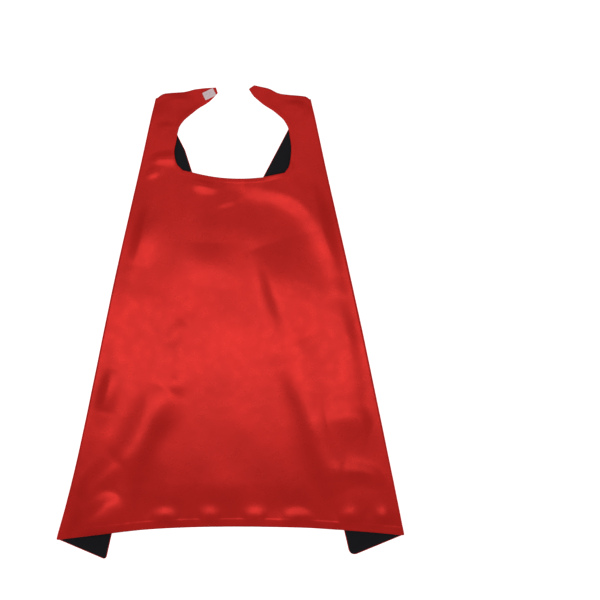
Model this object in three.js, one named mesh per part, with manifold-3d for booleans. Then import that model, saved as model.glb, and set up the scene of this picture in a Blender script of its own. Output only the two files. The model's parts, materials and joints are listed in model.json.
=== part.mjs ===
// A child's reversible superhero cape, laid flat with the red satin up and both side edges folded
// behind it. Red and black satin are bagged out together, and two neck tabs close with a square of
// hook tape and a square of loop tape.
// Millimetres. X runs across the cape, Y towards the collar and Z up from the table. The origin is
// on the table under the middle of the cape's box.
// The cloth is split where it bends: two side flaps turn on the side folds, and two arms, which hold
// the tabs, swing in the plane of the cloth about the ends of the neck edge.

import * as THREE from "three";
import { mergeVertices } from "three/addons/utils/BufferGeometryUtils.js";
import Module from "manifold-3d";

const wasm = await Module();
wasm.setup();

// Cloth: two plies of satin with a little air between them.
const PLY = 0.5;
const PLY_GAP = 0.3;
const CLOTH = 2 * PLY + PLY_GAP;
const SEAM_GAP = 0.3; // between pieces that stand for one cloth

// Closing tapes: a woven base sewn down round its border, and a raised field of hooks or loops.
const TAPE_LENGTH = 18.5;
const TAPE_WIDTH = 12.5;
const TAPE_BASE = 0.5;
const TAPE_BORDER = 2.2;
const HOOK_HEIGHT = 1.2;
const LOOP_HEIGHT = 1.0;
const SEAT_GAP = 0.3; // between a tape and the cloth it is sewn to
const MATE_GAP = 0.3; // between the two fields when the neck is closed
const THREAD = 0.35;
const THREAD_GAP = 0.15;

// The upper layer clears the folded flaps by the height of one closed tab with both tapes.
const LEVEL = CLOTH + 2 * SEAT_GAP + HOOK_HEIGHT + MATE_GAP + LOOP_HEIGHT;
const ROLL = (LEVEL + CLOTH) / 2; // outer radius of the side folds, and the height of their axes
const ROLL_STEPS = 6;
const ROLL_LAP = 2; // how far an arm's fold runs into its upper layer
const ROLL_END = 6; // where an arm's fold stops, down from the shoulder corner
const TURN_GAP = 0.3; // between a side fold and the flap that turns inside it

// Overall shape.
const LENGTH = 667.5; // shoulder line to the middle of the hem
const HEM_BEND = 2.2; // how late the hem starts to dip on its way out to the side folds
const NECK_SAG = 5; // how far the neck edge dips between the arms
const BACK_FALL = 45; // run over which the back comes down from the flaps to the table
const TAB_FALL = 52; // the same for the left arm, so that its tab can go under the right one
const FALL_START = 3; // how far past a flap's free edge a fall starts

// Mesh columns.
const FLAP_COLUMNS = 4;
const NECK_COLUMNS = 10;
const BACK_ROWS = 6;
const ARM_COLUMNS = 3;

// Each side is laid out from its fold axis. A pair is [down, across]: down the fold from the
// shoulder corner, and across from the fold towards the middle. A rib is an outer and a neck point.
const LEFT = foldFrame({
  hand: 1,
  shoulder: 116.2, // middle of the cape to the fold, at the shoulder
  shoulderDrop: 0,
  hem: 267, // middle of the cape to the fold, at the hem
  hemDip: 21,
  split: 102.3, // down to the line where the arm meets the back
  neckCorner: 63, // across to where the arm's neck edge leaves that line
  flap: 78.3, // width of the flap at that line
  flapHem: 76,
  flapDip: 15, // how much lower the flap's corner is than the foot of the fold
  flapRound: 7,
  flapEdge: [[0, 0], [51.5, 44], [71, 60]], // the flap's free edge above that line
  tape: [-22.2, 77.8], // centre of the closing tape
  tapeTurn: 37.7, // degrees from across, towards the tab's end
  ribs: [
    [[84.9, 0], [93.6, 51.4]],
    [[63.5, 0], [77.3, 44.5]],
    [[42.5, 0], [61.4, 43.9]],
    [[23.6, 0], [47.2, 43.3]],
    [[10.2, 0], [36.8, 44.1]],
    [[1.5, 0], [26, 48.9]],
    [[-6.2, 7], [19.4, 53.6]],
    [[-10.3, 16.4], [13.2, 58.4]],
    [[-17.4, 39.4], [3.3, 66.4]],
    [[-24.8, 54.2], [-4.7, 74.9]],
    [[-30.1, 69.4], [-13, 82.3]],
    [[-34.8, 85.8], [-26.6, 90.6]],
  ],
});
const RIGHT = foldFrame({
  hand: -1,
  shoulder: 120.1,
  shoulderDrop: 1.4,
  hem: 264.5,
  hemDip: 13.5,
  split: 105.5,
  neckCorner: 61.4,
  flap: 96.2,
  flapHem: 86,
  flapDip: 16,
  flapRound: 12,
  flapEdge: [[0, 0], [40, 41.7]],
  tape: [-23.6, 72.8],
  tapeTurn: 37.7,
  ribs: [
    [[84.4, 0], [97.1, 52.9]],
    [[63, 0], [81.1, 46.5]],
    [[42, 0], [66.5, 43.1]],
    [[22.1, 0], [50.4, 42]],
    [[10.8, 0], [38.1, 41.9]],
    [[1.5, 0], [24.9, 46.3]],
    [[-7.1, 4.7], [15.9, 52.6]],
    [[-12, 18], [7.9, 59]],
    [[-16.9, 31.3], [1.3, 65.8]],
    [[-21, 45.7], [-5.1, 72.1]],
    [[-27.6, 57.6], [-13.7, 79]],
    [[-31.9, 68.5], [-21.5, 84.5]],
    [[-37.4, 79.7], [-33.3, 89.1]],
  ],
});

// The two plies, by their inner radius in a side fold.
const OUTER = ROLL - PLY;
const LINING = ROLL - CLOTH;

const RED = new THREE.MeshStandardMaterial({ color: 0xb01a16, roughness: 0.35, metalness: 0 });
const BLACK = new THREE.MeshStandardMaterial({ color: 0x1e1e20, roughness: 0.4, metalness: 0 });
const TAPE = new THREE.MeshStandardMaterial({ color: 0xc4b2b4, roughness: 0.9, metalness: 0 });
const COTTON = new THREE.MeshStandardMaterial({ color: 0xfacdcd, roughness: 0.8, metalness: 0 });

// ---- Layout ----

/** Adds a side's fold: its corner at the shoulder, its two directions and its length. */
function foldFrame(side) {
  const corner = new THREE.Vector2(-side.hand * side.shoulder, -side.shoulderDrop);
  const foot = new THREE.Vector2(-side.hand * side.hem, -LENGTH - side.hemDip);
  const length = corner.distanceTo(foot);
  const down = foot.sub(corner).normalize();
  const across = new THREE.Vector2(-down.y, down.x).multiplyScalar(side.hand);
  return { ...side, corner, down, across, length };
}

/** The point down and across from a side's shoulder corner, at a height over the table. */
function at(side, down, across, height = 0) {
  const flat = side.corner.clone();
  flat.addScaledVector(side.down, down);
  flat.addScaledVector(side.across, across);
  return new THREE.Vector3(flat.x, flat.y, height);
}

/** How far a point lies from a side's fold. */
function acrossFrom(side, point) {
  return new THREE.Vector2(point.x, point.y).sub(side.corner).dot(side.across);
}

/** Points along a line, with both ends. */
function spaced(start, end, columns) {
  return Array.from({ length: columns + 1 }, (_, i) => start.clone().lerp(end, i / columns));
}

/** The width of a folded flap above the split line. */
function flapWidth(side, down) {
  const edge = [...side.flapEdge, [side.split, side.flap]];
  const next = Math.max(1, edge.findIndex((point) => point[0] >= down));
  const [[d0, w0], [d1, w1]] = [edge[next - 1], edge[next]];
  return w0 + ((w1 - w0) * (down - d0)) / (d1 - d0);
}

// ---- Sheets ----

/** A pair of corners, one on each face of a ply whose underside is at a height. */
function layer(point, height) {
  return [
    new THREE.Vector3(point.x, point.y, height),
    new THREE.Vector3(point.x, point.y, height + PLY),
  ];
}

/** Corner pairs round a side fold at one place, from under the cloth up to its upper layer. */
function rollPairs(side, down, inner) {
  return Array.from({ length: ROLL_STEPS }, (_, i) => {
    const angle = Math.PI * (i / ROLL_STEPS - 0.5);
    return [inner, inner + PLY].map((radius) =>
      at(side, down, -radius * Math.cos(angle), ROLL + radius * Math.sin(angle)),
    );
  });
}

/** A closed sheet from rows of corner pairs. Faces turn round for a side laid out the other way. */
function sheet(rows, hand = 1) {
  const columns = rows[0].length;
  const position = rows.flat(2).flatMap((corner) => corner.toArray());
  const id = (row, column, face) => (row * columns + column) * 2 + face;
  const triangles = [];
  const quad = (a, b, c, d) => triangles.push(...(hand > 0 ? [a, b, c, a, c, d] : [a, c, b, a, d, c]));
  const lastRow = rows.length - 1;
  const lastColumn = columns - 1;
  for (let r = 0; r < lastRow; r++) {
    for (let c = 0; c < lastColumn; c++) {
      quad(id(r, c, 1), id(r, c + 1, 1), id(r + 1, c + 1, 1), id(r + 1, c, 1));
      quad(id(r, c, 0), id(r + 1, c, 0), id(r + 1, c + 1, 0), id(r, c + 1, 0));
    }
    quad(id(r, 0, 0), id(r, 0, 1), id(r + 1, 0, 1), id(r + 1, 0, 0));
    quad(id(r, lastColumn, 0), id(r + 1, lastColumn, 0), id(r + 1, lastColumn, 1), id(r, lastColumn, 1));
  }
  for (let c = 0; c < lastColumn; c++) {
    quad(id(0, c, 0), id(0, c + 1, 0), id(0, c + 1, 1), id(0, c, 1));
    quad(id(lastRow, c, 0), id(lastRow, c, 1), id(lastRow, c + 1, 1), id(lastRow, c + 1, 0));
  }
  const geometry = new THREE.BufferGeometry();
  geometry.setAttribute("position", new THREE.Float32BufferAttribute(position, 3));
  geometry.setIndex(triangles);
  return geometry;
}

/** One closed body from overlapping ones. */
function join(geometries) {
  const [first, ...others] = geometries.map(toSolid);
  return fromSolid(others.reduce((body, other) => body.add(other), first));
}

function toSolid(geometry) {
  const bare = geometry.clone();
  bare.deleteAttribute("normal");
  bare.deleteAttribute("uv");
  const merged = mergeVertices(bare, 1e-4);
  return new wasm.Manifold(
    new wasm.Mesh({
      numProp: 3,
      vertProperties: merged.attributes.position.array,
      triVerts: new Uint32Array(merged.index.array),
    }),
  );
}

function fromSolid(solid) {
  const { vertProperties, triVerts } = solid.getMesh();
  const geometry = new THREE.BufferGeometry();
  geometry.setAttribute("position", new THREE.BufferAttribute(vertProperties, 3));
  geometry.setIndex(new THREE.BufferAttribute(triVerts, 1));
  return geometry;
}

// ---- Back panel ----

/** How far the back has come down at a point: nothing over the flaps, the whole level between. */
function backFall(point) {
  const past = (side) => acrossFrom(side, point) - Math.max(side.flap, side.flapHem) - FALL_START;
  return LEVEL * THREE.MathUtils.smoothstep(Math.min(past(LEFT), past(RIGHT)), 0, BACK_FALL);
}

/** The top edge from fold to fold: along the left split line, the neck edge, the right split line. */
function topEdge() {
  const top = (side, across) => at(side, side.split + SEAM_GAP, across);
  const left = spaced(top(LEFT, 0), top(LEFT, LEFT.flap), FLAP_COLUMNS);
  const right = spaced(top(RIGHT, RIGHT.flap), top(RIGHT, 0), FLAP_COLUMNS);
  const neck = spaced(left.at(-1), right[0], NECK_COLUMNS);
  neck.forEach((point, i) => {
    const t = i / NECK_COLUMNS;
    point.y -= NECK_SAG * 4 * t * (1 - t);
  });
  return [...left, ...neck.slice(1, -1), ...right];
}

/** The hem from fold to fold, a share of the way across. */
function hemPoint(share) {
  const ends = [LEFT, RIGHT].map((side) => at(side, side.length, 0));
  const x = THREE.MathUtils.lerp(ends[0].x, ends[1].x, share);
  const side = x < 0 ? LEFT : RIGHT;
  const dip = side.hemDip * Math.pow(Math.abs(x) / side.hem, HEM_BEND);
  return new THREE.Vector3(x, -LENGTH - dip, 0);
}

function backPly(inner) {
  const top = topEdge();
  const width = top.at(-1).x - top[0].x;
  const hem = top.map((point) => hemPoint((point.x - top[0].x) / width));
  const rows = [];
  for (let r = 0; r <= BACK_ROWS; r++) {
    const t = r / BACK_ROWS;
    const roll = (side) =>
      rollPairs(side, THREE.MathUtils.lerp(side.length, side.split + SEAM_GAP, t), inner);
    const flat = hem.map((low, i) => {
      const point = low.clone().lerp(top[i], t);
      return layer(point, ROLL + inner - backFall(point));
    });
    rows.push([...roll(LEFT), ...flat, ...roll(RIGHT).reverse()]);
  }
  return sheet(rows);
}

// ---- Arms ----

/** How far the left arm has come down, past the line of its folded flap's free edge. */
function tabFall([down, across]) {
  const [cornerDown, cornerAcross] = LEFT.flapEdge[1];
  const edge = Math.hypot(cornerDown, cornerAcross);
  const past = (across * cornerDown - down * cornerAcross) / edge - FALL_START;
  return LEVEL * THREE.MathUtils.smoothstep(past, 0, TAB_FALL);
}

/** The upper layer of an arm, from the split line round to the tab's end. */
function armUpper(side, inner, fall) {
  const splitRib = [[side.split, 0], [side.split, side.neckCorner]];
  const rows = [splitRib, ...side.ribs].map(([outer, neck]) =>
    Array.from({ length: ARM_COLUMNS + 1 }, (_, i) => {
      const share = i / ARM_COLUMNS;
      const place = outer.map((value, k) => THREE.MathUtils.lerp(value, neck[k], share));
      return layer(at(side, ...place), ROLL + inner - fall(place));
    }),
  );
  return sheet(rows, side.hand);
}

/** The side fold of an arm with the piece of flap that stays folded under it. */
function armFold(side, inner) {
  const middle = (side.flapEdge.at(-1)[0] + ROLL_END) / 2;
  const stations = [side.split, side.flapEdge.at(-1)[0], middle, ROLL_END];
  const rows = stations.map((down) => {
    const under = [ROLL - inner, ROLL - inner - PLY].map((height) =>
      at(side, down, flapWidth(side, down), height),
    );
    const upper = [0, ROLL_LAP].map((across) => layer(at(side, down, across), ROLL + inner));
    return [under, ...rollPairs(side, down, inner), ...upper];
  });
  return sheet(rows, side.hand);
}

function armPly(side, inner) {
  const fall = side === LEFT ? tabFall : () => 0;
  return join([armUpper(side, inner, fall), armFold(side, inner)]);
}

// ---- Flaps ----

/** The outline of a flap below the split line, clear of the fold that it turns in. */
function flapShape(side) {
  const start = ROLL + TURN_GAP;
  const corner = at(side, side.length + side.flapDip, side.flapHem);
  const head = at(side, side.split + SEAM_GAP, side.flap);
  const foot = at(side, side.length, start);
  const before = corner.clone().lerp(head, side.flapRound / corner.distanceTo(head));
  const after = corner.clone().lerp(foot, side.flapRound / corner.distanceTo(foot));
  const shape = new THREE.Shape();
  const first = at(side, side.split + SEAM_GAP, start);
  shape.moveTo(first.x, first.y);
  shape.lineTo(head.x, head.y);
  shape.lineTo(before.x, before.y);
  shape.quadraticCurveTo(corner.x, corner.y, after.x, after.y);
  shape.lineTo(foot.x, foot.y);
  return shape;
}

function flapPly(side, inner) {
  const options = { depth: PLY, bevelEnabled: false, curveSegments: 4 };
  const geometry = new THREE.ExtrudeGeometry(flapShape(side), options);
  return geometry.translate(0, 0, ROLL - inner - PLY);
}

// ---- Closing tapes ----

function tapeBox(inset, height) {
  const box = new THREE.BoxGeometry(TAPE_LENGTH - 2 * inset, TAPE_WIDTH - 2 * inset, height);
  return box.translate(0, 0, height / 2);
}

function tapeGeometry(height) {
  return join([tapeBox(0, TAPE_BASE), tapeBox(TAPE_BORDER, height)]);
}

function rectangle(path, halfLength, halfWidth) {
  path.moveTo(-halfLength, -halfWidth);
  path.lineTo(halfLength, -halfWidth);
  path.lineTo(halfLength, halfWidth);
  path.lineTo(-halfLength, halfWidth);
  path.closePath();
  return path;
}

/** The line of sewing round a tape's border. */
function stitchGeometry() {
  const middle = TAPE_BORDER / 2;
  const ring = (inset) => [TAPE_LENGTH / 2 - inset, TAPE_WIDTH / 2 - inset];
  const shape = rectangle(new THREE.Shape(), ...ring(middle - THREAD / 2));
  shape.holes.push(rectangle(new THREE.Path(), ...ring(middle + THREAD / 2)));
  const geometry = new THREE.ExtrudeGeometry(shape, { depth: THREAD, bevelEnabled: false });
  return geometry.translate(0, 0, TAPE_BASE + THREAD_GAP);
}

/** A sewn tape on a tab, with its field facing up, or down if it is turned over. */
function sewnTape(side, name, height, seat, turnedOver) {
  const group = new THREE.Group();
  group.position.copy(at(side, ...side.tape, seat));
  const across = Math.atan2(side.across.y, side.across.x);
  const angle = across + side.hand * THREE.MathUtils.degToRad(side.tapeTurn);
  group.rotation.set(turnedOver ? Math.PI : 0, 0, turnedOver ? -angle : angle);
  group.add(piece(name, tapeGeometry(height), TAPE));
  group.add(piece(name + "_stitching", stitchGeometry(), COTTON));
  return group;
}

// ---- Assembly ----

function piece(name, geometry, material) {
  const mesh = new THREE.Mesh(geometry, material.clone());
  mesh.name = name;
  return mesh;
}

function buildCape() {
  const layout = new THREE.Group();
  for (const [ply, inner, material] of [["outer", OUTER, RED], ["lining", LINING, BLACK]]) {
    layout.add(piece("back_" + ply, backPly(inner), material));
    layout.add(piece("left_arm_" + ply, armPly(LEFT, inner), material));
    layout.add(piece("right_arm_" + ply, armPly(RIGHT, inner), material));
    layout.add(piece("left_flap_" + ply, flapPly(LEFT, inner), material));
    layout.add(piece("right_flap_" + ply, flapPly(RIGHT, inner), material));
  }
  layout.add(sewnTape(LEFT, "hook_tape", HOOK_HEIGHT, CLOTH + SEAT_GAP, false));
  layout.add(sewnTape(RIGHT, "loop_tape", LOOP_HEIGHT, LEVEL - SEAT_GAP, true));

  const middle = new THREE.Box3().setFromObject(layout).getCenter(new THREE.Vector3());
  layout.position.set(-middle.x, -middle.y, 0);
  const cape = new THREE.Group();
  cape.add(layout);
  return cape;
}

export default buildCape();
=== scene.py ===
"""A child's satin superhero cape lying flat, red side up, with both side edges folded behind it.

Sizes are in millimetres and are turned into metres when a mesh is made. Each side is laid out from
its fold line: a place is (down, across), down the fold from the shoulder corner and across from the
fold towards the middle of the cape. All the patches of one ply are welded together to find smooth
normals, and then cut into pieces, so that the shading runs on over every join.
"""

import json
import math

import bpy
import numpy as np
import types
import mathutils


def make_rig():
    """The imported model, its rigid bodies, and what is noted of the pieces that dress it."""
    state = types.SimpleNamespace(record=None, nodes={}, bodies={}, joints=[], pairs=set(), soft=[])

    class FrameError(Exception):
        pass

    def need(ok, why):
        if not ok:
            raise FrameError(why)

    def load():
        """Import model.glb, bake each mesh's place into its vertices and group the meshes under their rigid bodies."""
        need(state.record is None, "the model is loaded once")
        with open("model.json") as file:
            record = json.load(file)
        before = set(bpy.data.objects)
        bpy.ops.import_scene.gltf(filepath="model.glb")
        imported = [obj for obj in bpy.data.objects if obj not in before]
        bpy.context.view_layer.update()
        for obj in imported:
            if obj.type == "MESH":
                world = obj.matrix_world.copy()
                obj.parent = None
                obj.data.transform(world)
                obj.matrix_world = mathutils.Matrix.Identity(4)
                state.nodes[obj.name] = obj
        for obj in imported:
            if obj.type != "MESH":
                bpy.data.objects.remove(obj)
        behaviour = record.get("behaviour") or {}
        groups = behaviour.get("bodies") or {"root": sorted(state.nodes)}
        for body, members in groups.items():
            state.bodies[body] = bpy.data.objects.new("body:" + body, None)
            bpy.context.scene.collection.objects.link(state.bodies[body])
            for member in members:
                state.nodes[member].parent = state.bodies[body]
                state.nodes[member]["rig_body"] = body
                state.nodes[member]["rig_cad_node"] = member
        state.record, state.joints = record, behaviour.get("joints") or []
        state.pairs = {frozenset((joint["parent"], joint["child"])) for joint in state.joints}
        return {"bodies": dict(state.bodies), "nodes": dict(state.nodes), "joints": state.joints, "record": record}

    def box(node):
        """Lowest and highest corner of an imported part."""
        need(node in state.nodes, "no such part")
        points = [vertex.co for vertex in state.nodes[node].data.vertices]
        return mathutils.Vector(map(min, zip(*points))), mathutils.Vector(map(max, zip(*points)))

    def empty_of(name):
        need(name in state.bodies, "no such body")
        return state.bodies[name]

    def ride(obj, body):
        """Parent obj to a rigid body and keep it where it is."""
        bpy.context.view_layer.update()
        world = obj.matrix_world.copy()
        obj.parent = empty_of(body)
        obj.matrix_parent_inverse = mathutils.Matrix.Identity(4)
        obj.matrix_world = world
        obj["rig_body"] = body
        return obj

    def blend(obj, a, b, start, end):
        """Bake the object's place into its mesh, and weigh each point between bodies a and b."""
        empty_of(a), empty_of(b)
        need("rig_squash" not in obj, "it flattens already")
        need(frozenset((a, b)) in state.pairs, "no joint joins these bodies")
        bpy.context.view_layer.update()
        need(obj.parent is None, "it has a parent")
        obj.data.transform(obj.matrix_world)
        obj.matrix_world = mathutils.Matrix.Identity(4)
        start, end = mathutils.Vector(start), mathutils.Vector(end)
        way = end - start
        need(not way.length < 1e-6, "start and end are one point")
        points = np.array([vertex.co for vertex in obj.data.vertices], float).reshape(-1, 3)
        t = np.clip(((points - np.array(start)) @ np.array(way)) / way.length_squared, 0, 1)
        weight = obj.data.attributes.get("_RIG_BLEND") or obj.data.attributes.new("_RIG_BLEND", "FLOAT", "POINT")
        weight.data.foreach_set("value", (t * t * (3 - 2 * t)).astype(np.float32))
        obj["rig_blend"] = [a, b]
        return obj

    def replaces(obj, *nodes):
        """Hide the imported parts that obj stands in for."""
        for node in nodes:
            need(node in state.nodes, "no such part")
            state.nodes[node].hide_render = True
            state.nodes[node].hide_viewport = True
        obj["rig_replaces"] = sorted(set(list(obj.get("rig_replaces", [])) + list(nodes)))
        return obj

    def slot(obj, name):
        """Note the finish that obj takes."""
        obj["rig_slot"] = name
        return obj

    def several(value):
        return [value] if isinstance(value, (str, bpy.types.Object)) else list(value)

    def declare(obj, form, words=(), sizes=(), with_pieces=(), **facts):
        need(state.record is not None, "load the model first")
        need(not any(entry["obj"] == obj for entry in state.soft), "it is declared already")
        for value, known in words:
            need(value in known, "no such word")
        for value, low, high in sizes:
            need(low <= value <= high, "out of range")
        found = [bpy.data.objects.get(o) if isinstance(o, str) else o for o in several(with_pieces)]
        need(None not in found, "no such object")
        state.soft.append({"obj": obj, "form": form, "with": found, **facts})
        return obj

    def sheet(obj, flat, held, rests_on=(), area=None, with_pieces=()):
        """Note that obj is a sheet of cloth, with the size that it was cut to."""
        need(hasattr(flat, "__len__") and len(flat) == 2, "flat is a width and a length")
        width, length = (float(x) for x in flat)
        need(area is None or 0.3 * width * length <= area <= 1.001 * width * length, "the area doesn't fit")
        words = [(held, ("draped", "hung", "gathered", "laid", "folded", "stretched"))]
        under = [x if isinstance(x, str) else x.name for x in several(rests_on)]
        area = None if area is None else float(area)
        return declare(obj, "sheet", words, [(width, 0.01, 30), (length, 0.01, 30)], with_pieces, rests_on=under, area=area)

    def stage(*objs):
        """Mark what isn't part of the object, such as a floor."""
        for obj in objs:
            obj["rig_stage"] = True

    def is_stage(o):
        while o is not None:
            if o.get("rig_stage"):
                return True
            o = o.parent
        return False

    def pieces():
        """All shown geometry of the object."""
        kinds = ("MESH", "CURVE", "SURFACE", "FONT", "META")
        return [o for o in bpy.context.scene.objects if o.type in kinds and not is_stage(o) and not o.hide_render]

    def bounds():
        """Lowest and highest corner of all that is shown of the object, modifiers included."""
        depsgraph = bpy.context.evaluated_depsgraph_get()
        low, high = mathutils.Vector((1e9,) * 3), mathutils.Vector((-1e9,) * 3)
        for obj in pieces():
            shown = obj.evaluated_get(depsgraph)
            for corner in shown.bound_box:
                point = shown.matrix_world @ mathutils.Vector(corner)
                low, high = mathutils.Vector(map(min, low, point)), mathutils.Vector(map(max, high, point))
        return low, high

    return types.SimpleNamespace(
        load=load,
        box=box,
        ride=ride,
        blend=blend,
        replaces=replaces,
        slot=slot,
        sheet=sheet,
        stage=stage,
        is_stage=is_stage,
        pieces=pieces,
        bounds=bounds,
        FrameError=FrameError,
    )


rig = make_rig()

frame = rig.load()
CAD_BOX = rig.bounds()

MM = 0.001
JOINTS = {joint["name"]: joint for joint in frame["record"]["behaviour"]["joints"]}

# ---- Sizes, in millimetres ----

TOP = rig.box("back_outer")[1].z / MM  # top of the cloth over the folded flaps
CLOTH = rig.box("left_flap_lining")[1].z / MM  # thickness of the two plies
FOLD_MARK = 400.0  # the side-fold joints are this far down from their shoulder corners
EDGE_ROUND = 1.3  # how far in from a seam the cloth reaches its full thickness
HEM_ALLOWANCE = 12.5  # width of the seam allowance turned in behind the hem
EDGE_ALLOWANCE = 6.5
ALLOWANCE_STEP = 0.16  # how much thicker each face is over a seam allowance
ALLOWANCE_RAMP = 1.5  # half the run over which that ends
EDGE_PRESS = 0.5  # how much of that shows away from the hem
SKIN = 0.22  # thickness of one satin ply
CELL = 3.0  # size of the mesh cells
FINE_CELL = 2.2  # the same in the arms
NECK_SAG = 5.0
HEM_BEND = 2.2
HEM_FLARE = 2.3  # half the hem over half the width at the shoulders
FLAP_WIDTH = 78.0  # near the hem, which sets the number of columns
BACK_FALL = 45.0
TAB_FALL = 52.0
FALL_START = 3.0
PINCH = 1.6  # how far the fold is pressed down at the shoulder corner
PINCH_RUN = 34.0
BLEND_FLAP = 450.0  # length of fold over which a flap opens
BLEND_ARM = 100.0  # length over which an arm starts to swing

# Each rib is an outer place, given on the fold by its distance down alone, and a place on the neck edge.
LEFT_SHAPE = {
    "shoulder": 116.2,
    "length": 704.8,
    "hem_dip": 21.0,
    "neck_corner": 63.0,
    "flap_hem": 76.0,
    "flap_dip": 15.0,
    "flap_round": 6.0,
    "bow": [0, 0.9, 1.5, 0.9, -0.5, -1.4, -0.6, 3.0],
    "flap_edge": [(1.5, 0), (51.5, 44), (71, 60)],
    "tape": (-22.2, 77.8),
    "fold_ribs": [
        (84.9, (93.6, 51.4)),
        (63.5, (77.3, 44.5)),
        (42.5, (61.4, 43.9)),
        (23.6, (47.2, 43.3)),
        (10.2, (36.8, 44.1)),
        (1.5, (26, 48.9)),
    ],
    "tab_ribs": [
        ((-6.2, 7), (19.4, 53.6)),
        ((-10.3, 16.4), (13.2, 58.4)),
        ((-17.4, 39.4), (3.3, 66.4)),
        ((-24.8, 54.2), (-4.7, 74.9)),
        ((-30.1, 69.4), (-13, 82.3)),
        ((-34.8, 85.8), (-26.6, 90.6)),
    ],
}
RIGHT_SHAPE = {
    "shoulder": 120.1,
    "length": 694.7,
    "hem_dip": 13.5,
    "neck_corner": 61.4,
    "flap_hem": 86.0,
    "flap_dip": 16.0,
    "flap_round": 12.0,
    "bow": [0, 0.8, 2.0, 2.8, 2.8, 2.4, 1.8, 0.8],
    "flap_edge": [(1.5, 0), (40, 41.7)],
    "tape": (-23.6, 72.8),
    "fold_ribs": [
        (84.4, (97.1, 52.9)),
        (63, (81.1, 46.5)),
        (42, (66.5, 43.1)),
        (22.1, (50.4, 42)),
        (10.8, (38.1, 41.9)),
        (1.5, (24.9, 46.3)),
    ],
    "tab_ribs": [
        ((-3.6, 5.0), (15.9, 52.6)),
        ((-8.2, 18.4), (7.9, 59)),
        ((-12.4, 32.6), (1.3, 65.8)),
        ((-17.6, 45.7), (-5.1, 72.1)),
        ((-27.0, 57.6), (-13.7, 79)),
        ((-32.4, 68.6), (-21.5, 84.5)),
        ((-37.4, 79.7), (-33.3, 89.1)),
    ],
}

# Soft folds in the satin: points across and up from the middle of the hem, height, and half widths
# on the left and on the right of the way that the points run.
LONG_CREASES = [
    ([(45, 445), (80, 335), (105, 280)], 5.4, 60, 20),
    ([(85, 270), (120, 180), (145, 110), (175, 40)], 5.2, 32, 22),
    ([(-95, 225), (-135, 150), (-185, 40)], 6.6, 26, 32),
    ([(160, 360), (185, 290), (195, 220)], 2, 26, 24),
]
SHOULDER_DRAPES = [
    ([(5, 535), (80, 520), (120, 495), (155, 435), (175, 375)], 4.2, 30, 20),
    ([(-115, 515), (-135, 465), (-150, 400)], 3, 20, 16),
    ([(-35, 445), (-40, 370)], 1.6, 40, 30),
]
SIDE_FOLDS = [
    ([(170, 90), (210, 85), (245, 70)], 2.8, 14, 14),
    ([(145, 160), (185, 170), (225, 160)], 3, 18, 32),
    ([(-180, 250), (-190, 210), (-200, 175)], 3, 14, 18),
    ([(-105, 280), (-70, 320)], 1.5, 14, 16),
    ([(-100, 210), (-80, 230)], 1.3, 14, 16),
]
CORNER_FANS = [
    ([(-175, 105), (-205, 75), (-240, 40)], 3.8, 18, 22),
    ([(-170, 45), (-210, 20), (-250, 0)], 4.6, 24, 18),
    ([(-275, -20), (-220, -5), (-160, 5)], 5.6, 26, 14),
]
NECK_DENTS = [
    ([(-135, 570), (-85, 575)], 2.6, 8, 10),
    ([(-125, 620), (-85, 620)], 2.6, 8, 10),
    ([(-100, 665), (-65, 665)], 2.6, 8, 10),
    ([(-140, 545), (-110, 555)], 2.6, 8, 10),
    ([(-65, 535), (-20, 525)], 2.2, 8, 10),
    ([(85, 655), (115, 655)], 2.6, 8, 10),
    ([(50, 675), (80, 675)], 2, 8, 10),
    ([(45, 545), (90, 560)], 2.4, 8, 10),
    ([(10, 510), (-30, 500)], 1.6, 8, 10),
]
SWELL_REACHES = [(-105, 22), (-35, 15), (35, 15), (105, 28), (185, 20), (240, 15)]
SWELL_START = 8.0  # how far the swells' ends are above the hem
SWELL_RISE = 8.0
SWELL_HEIGHT = 3.3
SWELL_HALVES = (14, 9)
PUFF = 2.6  # how far the middle of the back stands off what it lies on
PUFF_RUN = 70.0
RIDGE_ENDS = (0.06, 0.94)  # a ridge keeps its height outside these shares of its length
RIDGE_TAPER = 0.6
RIDGE_STEPS = 16
RIPPLES = 46
RIPPLE_LENGTHS = (70, 230)
RIPPLE_HEIGHT = 0.1
PUCKER_HEIGHT = 0.12
PUCKER_LENGTHS = (13, 17, 23, 31)
PUCKER_MIDDLE = 7.0  # how far above the hem they are highest
PUCKER_REACH = 9.0
FOLD_CALM = 0.3  # share of the relief that is left at the side folds
FOLD_CALM_RUN = 24.0
SHOULDER_CALM = 0.5  # and at the shoulders
SHOULDER_CALM_RUN = (-10, 60)
TAPE_CALM_RUN = (12, 40)  # from a tape's middle

# ---- Layout ----


def smooth(x, start, end):
    """0 before start, 1 after end and a soft ramp between."""
    t = np.clip((x - start) / (end - start), 0, 1)
    return t * t * (3 - 2 * t)


def lerp(a, b, t):
    return a + (b - a) * t


def unit(vectors):
    return vectors / np.maximum(np.linalg.norm(vectors, axis=-1, keepdims=True), 1e-12)


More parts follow.
